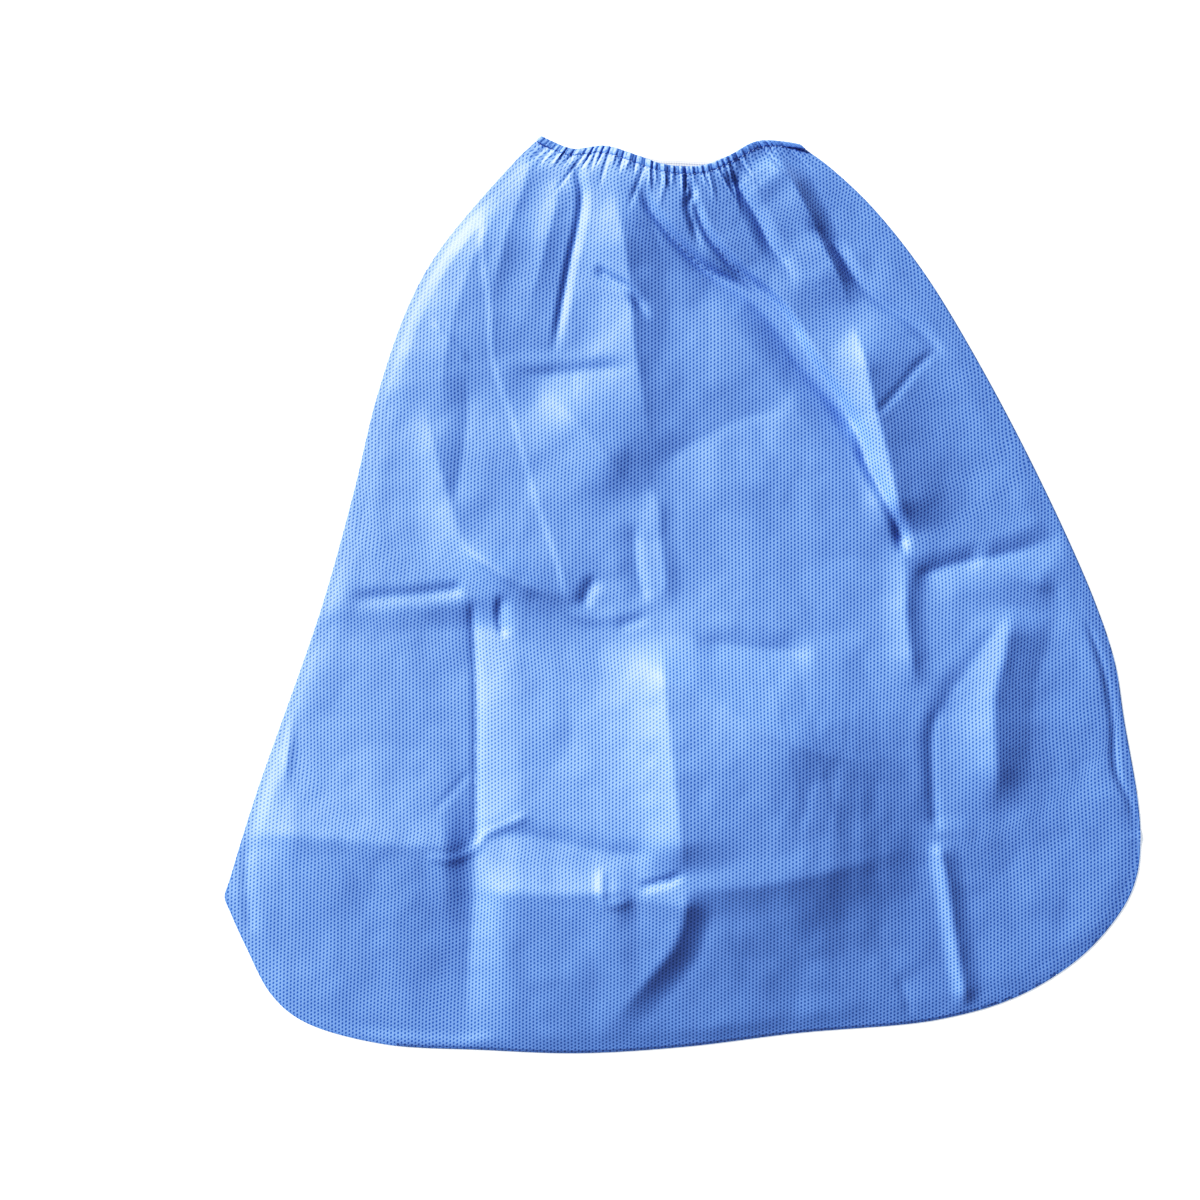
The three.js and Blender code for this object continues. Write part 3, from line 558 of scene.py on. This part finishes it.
def cloth_material(name, base, bond, pale, bond_share=1.0, **bonds):
    """Non-woven cloth: the bonds in a deeper blue, fibres paler, over slow clouds of colour."""
    material = bpy.data.materials.new(name)
    material.use_nodes = True
    tree = material.node_tree
    shader = tree.nodes["Principled BSDF"]
    place = add(tree, "UVMap", uv_map="cloth")
    cloth = tree.nodes.new("ShaderNodeGroup")
    cloth.node_tree = bonded_cloth
    tree.links.new(place.outputs[0], cloth.inputs["Vector"])
    for socket, value in bonds.items():
        cloth.inputs[socket.replace("_", " ").title()].default_value = value
    fibres = add(tree, "MapRange", {"Value": cloth.outputs["Fibres"], "From Min": 0.35,
                                    "From Max": 0.75, "To Max": 0.55})
    ground = add(tree, "Mix", {"Factor": fibres.outputs[0], "A": base, "B": pale}, data_type="RGBA")
    clouds = add(tree, "MapRange", {"Value": cloth.outputs["Clouds"], "From Min": 0.3,
                                    "From Max": 0.7, "To Min": 0.96, "To Max": 1.04})
    clouded = add(tree, "VectorMath", {0: ground.outputs["Result"], "Scale": clouds.outputs[0]},
                  operation="SCALE")
    share = maths(tree, "MULTIPLY", cloth.outputs["Bonds"], bond_share)
    dotted = add(tree, "Mix", {"Factor": share, "A": clouded.outputs[0], "B": bond}, data_type="RGBA")
    rough = add(tree, "MapRange", {"Value": cloth.outputs["Bonds"], "To Min": 0.56, "To Max": 0.46})
    bump = add(tree, "Bump", {"Height": cloth.outputs["Height"], "Strength": 0.5, "Distance": 0.00012})
    tree.links.new(dotted.outputs["Result"], shader.inputs["Base Color"])
    tree.links.new(rough.outputs[0], shader.inputs["Roughness"])
    tree.links.new(bump.outputs[0], shader.inputs["Normal"])
    shader.inputs["Sheen Weight"].default_value = 0.12
    shader.inputs["Sheen Roughness"].default_value = 0.4
    shader.inputs["Sheen Tint"].default_value = (0.8, 0.9, 1.0, 1.0)
    shader.inputs["Specular IOR Level"].default_value = 0.9
    return material


CLOTH_BASE = (0.245, 0.400, 0.840, 1)
CLOTH_PALE = (0.335, 0.495, 0.920, 1)
BOND_BLUE = (0.065, 0.165, 0.500, 1)
panel_cloth = cloth_material("panel_cloth", CLOTH_BASE, BOND_BLUE, CLOTH_PALE)
upper_panel.data.materials.append(panel_cloth)

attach(upper_panel, "root")
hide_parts("front_panel")


# Lower panel
# The same cut, with its right side down. It lies on the table, and only its edge and the inside
# of the mouth show from above.

LOWER_COLUMNS, LOWER_ROWS = 120, 100
LOWER_THICKNESS = 0.27
LOWER_WAVE = 0.04
LOWER_WAVE_SIZE = 24
BACK_RISE = 3.0
BACK_RISE_MIDDLE = 0.54
BACK_RISE_SPREAD = 0.13
BACK_RISE_DOWN = 0.04


def back_hem_rise(across):
    """How far the back of the mouth reaches past the front: rise * e^-((across - middle) /
    spread)^2."""
    return BACK_RISE * np.exp(-((across - BACK_RISE_MIDDLE) / BACK_RISE_SPREAD) ** 2)


across, along, x, y = panel_grid(LOWER_COLUMNS, LOWER_ROWS)
y = y + back_hem_rise(across) * (1 - smooth(along / BACK_RISE_DOWN))
wave = LOWER_WAVE * (1 + lumps(x, y, LOWER_WAVE_SIZE, 5))
lower_panel = sheet_piece(
    "lower_panel", np.stack([x, y, CLOTH_THICKNESS + wave], -1), LOWER_THICKNESS
)
lower_panel.data.materials.append(panel_cloth)
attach(lower_panel, "root")
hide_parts("back_panel")


# Seam margin
# The turned-in edges of the two panels. They lie inside the pouch, 5.5 mm wide, and show as a
# faint print on the upper panel. Near the seam they cut into that panel, which is lower there
# than they are.

MARGIN_WIDTH = 5.5
MARGIN_EDGE = 0.4
MARGIN_HEIGHT = 0.6
MARGIN_RIPPLE = 0.05
MARGIN_RIPPLE_TURN = 1.3
MARGIN_ROWS = 9
MARGIN_STEPS = (120, 221)

seam_line = np.vstack([
    place_on(heel_line, np.linspace(0, 1, MARGIN_STEPS[0])),
    place_on(sole_line, np.linspace(0, 1, MARGIN_STEPS[1]))[1:-1],
    place_on(toe_line, np.linspace(1, 0, MARGIN_STEPS[0])),
])
way = np.gradient(seam_line, axis=0)
way /= np.linalg.norm(way, axis=1, keepdims=True)
inwards = np.stack([-way[:, 1], way[:, 0]], 1)
widths = np.linspace(MARGIN_EDGE, MARGIN_EDGE + MARGIN_WIDTH, MARGIN_ROWS)
margin = seam_line[None] + widths[:, None, None] * inwards[None]
ripple = MARGIN_RIPPLE * np.sin(np.arange(len(seam_line)) * MARGIN_RIPPLE_TURN)
lift = ripple[None] * np.linspace(0, 1, MARGIN_ROWS)[:, None]
margin_top = np.dstack([margin, MARGIN_HEIGHT + lift])
seam_margin = sheet_piece("turned_in_margin", margin_top[:, ::-1], CLOTH_THICKNESS / 2)
margin_cloth = cloth_material(
    "margin_cloth", (0.170, 0.340, 0.800, 1), BOND_BLUE, CLOTH_PALE, bond_share=0.8
)
seam_margin.data.materials.append(margin_cloth)
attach(seam_margin, "root")
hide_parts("seam_margin")


# Hem
# The edge of the mouth, turned in over the elastic and stitched down. The elastic draws it up
# into small hard ruches, so that its edge is knobbly.

HEM_WIDTH = 3.3
HEM_THICKNESS = 0.8
HEM_STARTS_DOWN = 0.12
HEM_SQUARENESS = 0.8
HEM_STEPS = (560, 420, 14)
HEM_ROUND = 22
LEAST_OPENING = 1.6
RUCHE_STEP = 1.8
RUCHE_HEIGHT = 0.15
RUCHE_WIDTH = 0.05
RUCHE_WANDER = 1.6
RUCHE_UNEVEN = 0.4
HEM_FUZZ = 0.1

# The cloth of the hem is this many times as long as the mouth that it is drawn up to.
HEM_FULLNESS = 1.8

# Round the mouth, what lies lower than this is its back, blended over this height.
BACK_TOP = 1.2
BACK_BLEND = 2

mouth_length = np.hypot(*np.diff(mouth_line, axis=0).T).sum()


def front_edge_height(across):
    """Height of the upper panel where it meets the hem."""
    place = panel_place(across, np.zeros_like(across))
    return upper_height(place[:, 0], place[:, 1], across, np.zeros_like(across))


def mouth_loop(start, drop, back_height, least, steps):
    """Section round the open mouth, as mm across it and height: over the front at drop below
    the panel, but at least the given opening above the back, round the toe end in a half circle,
    back along the table and round the heel end."""
    front = np.linspace(start, mouth_length - start, steps[0])
    high = np.maximum(front_edge_height(front / mouth_length) - drop, back_height + least)
    back = np.linspace(front[-1], front[0], steps[1])
    turn = np.linspace(0, np.pi, steps[2] + 2)[1:-1]
    toe_radius, heel_radius = (high[[-1, 0]] - back_height) / 2
    toe = np.stack([front[-1] + toe_radius * np.sin(turn),
                    back_height + toe_radius * (1 + np.cos(turn))], 1)
    heel = np.stack([front[0] - heel_radius * np.sin(turn),
                     back_height + heel_radius * (1 - np.cos(turn))], 1)
    front = np.stack([front, high], 1)
    back = np.stack([back, np.full(steps[1], back_height)], 1)
    return np.vstack([front, toe, back, heel])


def run_along(loop):
    """Distance round a closed loop to each of its points: the sum of the steps before it."""
    step = np.linalg.norm(np.roll(loop, -1, axis=0) - loop, axis=1)
    return np.append(0, np.cumsum(step)[:-1])[:, None]


def mouth_tube(name, loop, profile):
    """Carries a closed profile, as mm down from the mouth line and mm out of the loop, round
    the loop. The back of the mouth reaches a little further than the front."""
    way = np.roll(loop, -1, axis=0) - np.roll(loop, 1, axis=0)
    way /= np.linalg.norm(way, axis=1, keepdims=True)
    down, out = profile
    position = (loop[:, 0:1] - way[:, 1:2] * out) / mouth_length
    height = loop[:, 1:2] + way[:, 0:1] * out
    place = hem_place(position.ravel(), down.ravel()).reshape(*down.shape, 2)
    back = 1 - smooth((loop[:, 1:2] - BACK_TOP) / BACK_BLEND)
    place[..., 1] += back * back_hem_rise(position)
    points = np.dstack([place, height])
    count, rounds = down.shape
    i = np.arange(count)[:, None] * rounds
    j = np.arange(rounds)
    after, next_j = (i + rounds) % (count * rounds), (j + 1) % rounds
    quads = np.stack(np.broadcast_arrays(i + j, i + next_j, after + next_j, after + j), -1)
    flat = np.stack(np.broadcast_arrays(run_along(loop) * HEM_FULLNESS, down), -1)
    return mesh_piece(name, points.reshape(-1, 3), [quads.reshape(-1, 4)], flat.reshape(-1, 2))


hem_loop = mouth_loop(start=1.2, drop=0.05, back_height=0.6, least=LEAST_OPENING, steps=HEM_STEPS)
run = run_along(hem_loop)
angle = np.linspace(0, 2 * np.pi, HEM_ROUND, endpoint=False)[None]
phase = run / RUCHE_STEP * 2 * np.pi + RUCHE_WANDER * lumps(run, 0 * run, 5, 11)
ruche = np.sin(phase) * (1 - RUCHE_UNEVEN + RUCHE_UNEVEN * lumps(run, 0 * run, 7, 12))
fuzz = lumps(run + 0 * angle, 3 * np.cos(angle) + 0 * run, 0.9, 13)
half_width = HEM_WIDTH / 2 * (1 + RUCHE_WIDTH * ruche)
half_thick = (HEM_THICKNESS + RUCHE_HEIGHT * ruche) / 2 + HEM_FUZZ * fuzz
hem_down = HEM_STARTS_DOWN + HEM_WIDTH / 2 - half_width * np.cos(angle)
hem_out = half_thick * np.sign(np.sin(angle)) * np.abs(np.sin(angle)) ** HEM_SQUARENESS
hem = mouth_tube("gathered_hem", hem_loop, (hem_down, hem_out))
hem_cloth = cloth_material(
    "hem_cloth", (0.165, 0.305, 0.735, 1), BOND_BLUE, (0.24, 0.40, 0.83, 1), bond_share=0.8,
    column_step=2.0, bond_width=0.7
)
hem.data.materials.append(hem_cloth)
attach(hem, "root")
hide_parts("mouth_hem")


# Elastic
# A flat white cord covered in thread, ribbed by its own tension. It runs round the inner side
# of the hem and shows at the back of the mouth.

ELASTIC_WIDTH = 2.4
ELASTIC_DOWN = 0.3
ELASTIC_THICKNESS = 0.4
ELASTIC_STEPS = (260, 520, 10)
ELASTIC_ROUND = 14
ELASTIC_RIB_STEP = 1.1
ELASTIC_RIB_HEIGHT = 0.03

# At the back of the mouth the elastic stands out of the hem by this much, where it lies lower
# than the top given here, blended over a height.
ELASTIC_SHOWS = 0.6
ELASTIC_BACK_TOP = 1.6
ELASTIC_BACK_BLEND = 0.3

elastic_loop = mouth_loop(start=12.0, drop=0.75, back_height=1.25, least=0.3, steps=ELASTIC_STEPS)
angle = np.linspace(0, 2 * np.pi, ELASTIC_ROUND, endpoint=False)[None]
rib = np.sin(run_along(elastic_loop) / ELASTIC_RIB_STEP * 2 * np.pi)
at_back = smooth((ELASTIC_BACK_TOP - elastic_loop[:, 1:2]) / ELASTIC_BACK_BLEND)
elastic_down = ELASTIC_DOWN + ELASTIC_WIDTH / 2 * (1 - np.cos(angle)) - ELASTIC_SHOWS * at_back
elastic_out = (ELASTIC_THICKNESS / 2 + ELASTIC_RIB_HEIGHT * rib) * np.sin(angle)
elastic = mouth_tube("elastic_cord", elastic_loop, (elastic_down, elastic_out))

elastic_white = bpy.data.materials.new("elastic_thread")
elastic_white.use_nodes = True
tree = elastic_white.node_tree
shader = tree.nodes["Principled BSDF"]
place = add(tree, "UVMap", uv_map="cloth")
ribs = add(tree, "TexWave", {"Vector": place.outputs[0], "Scale": 260.0, "Distortion": 0.6},
           bands_direction="Y")
colour = add(tree, "Mix", {"Factor": ribs.outputs["Fac"], "A": (0.62, 0.66, 0.74, 1),
                           "B": (0.86, 0.88, 0.92, 1)}, data_type="RGBA")
bump = add(tree, "Bump", {"Height": ribs.outputs["Fac"], "Strength": 0.5, "Distance": 0.0002})
tree.links.new(colour.outputs["Result"], shader.inputs["Base Color"])
tree.links.new(bump.outputs[0], shader.inputs["Normal"])
shader.inputs["Roughness"].default_value = 0.8
elastic.data.materials.append(elastic_white)
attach(elastic, "root")
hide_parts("elastic")


# Overlock stitches
# White thread along the lower edge of the hem, sewn through the hem and the panel. Each stitch
# is a short bowed thread with tapered ends, lying a little askew.

STITCH_STEP = 2.4
STITCH_LENGTH = 1.1
STITCH_RADIUS = 0.13
STITCH_TAPER = (0.05, 0.8, 1.0, 0.8, 0.05)
STITCH_SIDES = 6
STITCH_LIFT = 0.12
STITCH_DOWN = 3.5
STITCH_TURN = 0.5
STITCH_SHIFT = 0.15
STITCH_SEED = 21


def stitch_row(name, across, down, rise, turn):
    """Short threads lying on the cloth, each turned from the hem's direction: a ring of six
    points at five places along it, closed at both ends, and bowed up by lift * (1 - t^2)."""
    rings, sides = len(STITCH_TAPER), STITCH_SIDES
    t = np.linspace(-1, 1, rings)
    radius = np.array(STITCH_TAPER)[:, None] * STITCH_RADIUS
    angle = np.linspace(0, 2 * np.pi, sides, endpoint=False)
    here, before, after = (
        hem_place(np.clip(across + step, 0, 1), down) for step in (0, -0.002, 0.002)
    )
    ahead = after - before
    ahead /= np.linalg.norm(ahead, axis=1, keepdims=True)
    aside = np.stack([-ahead[:, 1], ahead[:, 0]], 1)
    cos, sin = np.cos(turn)[:, None], np.sin(turn)[:, None]
    ahead, aside = ahead * cos + aside * sin, aside * cos - ahead * sin
    centre = here[:, None] + ahead[:, None] * (t * STITCH_LENGTH / 2)[None, :, None]
    ring = centre[:, :, None] + aside[:, None, None] * (radius * np.cos(angle))[None, ..., None]
    bow = STITCH_LIFT * (1 - t ** 2)
    z = rise[:, None, None] + bow[None, :, None] + (radius * np.sin(angle))[None]
    points = np.concatenate([ring, z[..., None]], -1)
    first = np.arange(len(across))[:, None, None] * rings * sides
    base = first + np.arange(rings - 1)[None, :, None] * sides
    j = np.arange(sides)[None, None]
    next_j = (j + 1) % sides
    corners = (base + j, base + next_j, base + sides + next_j, base + sides + j)
    quads = np.stack(np.broadcast_arrays(*corners), -1).reshape(-1, 4)
    caps = (first + j)[:, 0]
    faces = [quads[:, ::-1], caps, (caps + (rings - 1) * sides)[:, ::-1]]
    return mesh_piece(name, points.reshape(-1, 3), faces)


count = int(mouth_length / STITCH_STEP)
draw = np.random.default_rng(STITCH_SEED)
share = (np.arange(count) + 0.5 + draw.uniform(-STITCH_SHIFT, STITCH_SHIFT, count)) / count
stitches = stitch_row(
    "hem_stitches", share, np.full(count, STITCH_DOWN), front_edge_height(share) + STITCH_LIFT,
    draw.uniform(-STITCH_TURN, STITCH_TURN, count)
)
thread = bpy.data.materials.new("white_thread")
thread.use_nodes = True
tree = thread.node_tree
shader = tree.nodes["Principled BSDF"]
place = add(tree, "TexCoord")
twist = add(tree, "TexNoise", {"Vector": place.outputs["Object"], "Scale": 900.0, "Detail": 1.0})
colour = add(tree, "Mix", {"Factor": twist.outputs[0], "A": (0.42, 0.55, 0.82, 1),
                           "B": (0.68, 0.76, 0.92, 1)}, data_type="RGBA")
tree.links.new(colour.outputs["Result"], shader.inputs["Base Color"])
shader.inputs["Roughness"].default_value = 0.7
stitches.data.materials.append(thread)
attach(stitches, "root")


# Floor, light and camera
# A plain pale floor that glows a little, one very large soft lamp low on the heel and mouth side
# and even light from all round, seen from straight above through a long lens.

FLOOR_SIZE = 30

bpy.ops.mesh.primitive_plane_add(size=FLOOR_SIZE)
floor = bpy.context.object
floor.name = "floor"
paper = bpy.data.materials.new("floor_paper")
paper.use_nodes = True
shader = paper.node_tree.nodes["Principled BSDF"]
shader.inputs["Base Color"].default_value = (0.92, 0.915, 0.905, 1)
shader.inputs["Roughness"].default_value = 0.9
shader.inputs["Specular IOR Level"].default_value = 0.1
shader.inputs["Emission Color"].default_value = (0.95, 0.97, 1, 1)
shader.inputs["Emission Strength"].default_value = 0.5
floor.data.materials.append(paper)

LAMP_TURN = np.radians(144)
LAMP_RISE = np.radians(27)
lamp_data = bpy.data.lights.new("window", "SUN")
lamp_data.energy = 6.3
lamp_data.color = (1.0, 0.97, 0.92)
lamp_data.angle = np.radians(16)
lamp = bpy.data.objects.new("window", lamp_data)
lamp.rotation_euler = (np.pi / 2 - LAMP_RISE, 0, LAMP_TURN + np.pi / 2)
bpy.context.scene.collection.objects.link(lamp)

world = bpy.data.worlds.new("room")
world.use_nodes = True
tree = world.node_tree
tree.nodes.clear()
room = add(tree, "Background", {"Color": (0.7, 0.9, 1.15, 1), "Strength": 0.2})
seen = add(tree, "Background", {"Color": (1, 1, 1, 1), "Strength": 1.25})
path = add(tree, "LightPath")
either = add(tree, "MixShader", {0: path.outputs["Is Camera Ray"], 1: room.outputs[0], 2: seen.outputs[0]})
add(tree, "OutputWorld", {"Surface": either.outputs[0]})
bpy.context.scene.world = world

# The tone curve of a print: 1 - e^(-depth * light^steepness), over its value where the light is
# full, so that deep tones are rich and bright ones pale.
TONE_DEPTH = 1.95
TONE_STEEPNESS = 1.73
TONE_FULL = 1.12
TONE_WHITE = 1.5
TONE_POINTS = 15

view = bpy.context.scene.view_settings
view.view_transform = "Standard"
view.use_curve_mapping = True
view.curve_mapping.white_level = (TONE_WHITE,) * 3
tone = view.curve_mapping.curves[3]
for light in np.linspace(0, 1, TONE_POINTS)[1:-1]:
    tone.points.new(light, 0.0)
for point in tone.points:
    light = point.location[0] * TONE_WHITE
    depth = 1 - np.exp(-TONE_DEPTH * light ** TONE_STEEPNESS)
    full = 1 - np.exp(-TONE_DEPTH * TONE_FULL ** TONE_STEEPNESS)
    point.location = (point.location[0], depth / full)
view.curve_mapping.update()

VIEW_MIDDLE = (-0.0362, -0.0024)
VIEW_WIDTH = 0.524
LENS = 100
SENSOR = 36
camera_data = bpy.data.cameras.new("camera")
camera_data.lens = LENS
camera_data.sensor_width = SENSOR
camera = bpy.data.objects.new("camera", camera_data)
camera.location = (*VIEW_MIDDLE, VIEW_WIDTH * LENS / SENSOR)
bpy.context.scene.collection.objects.link(camera)
bpy.context.scene.camera = camera
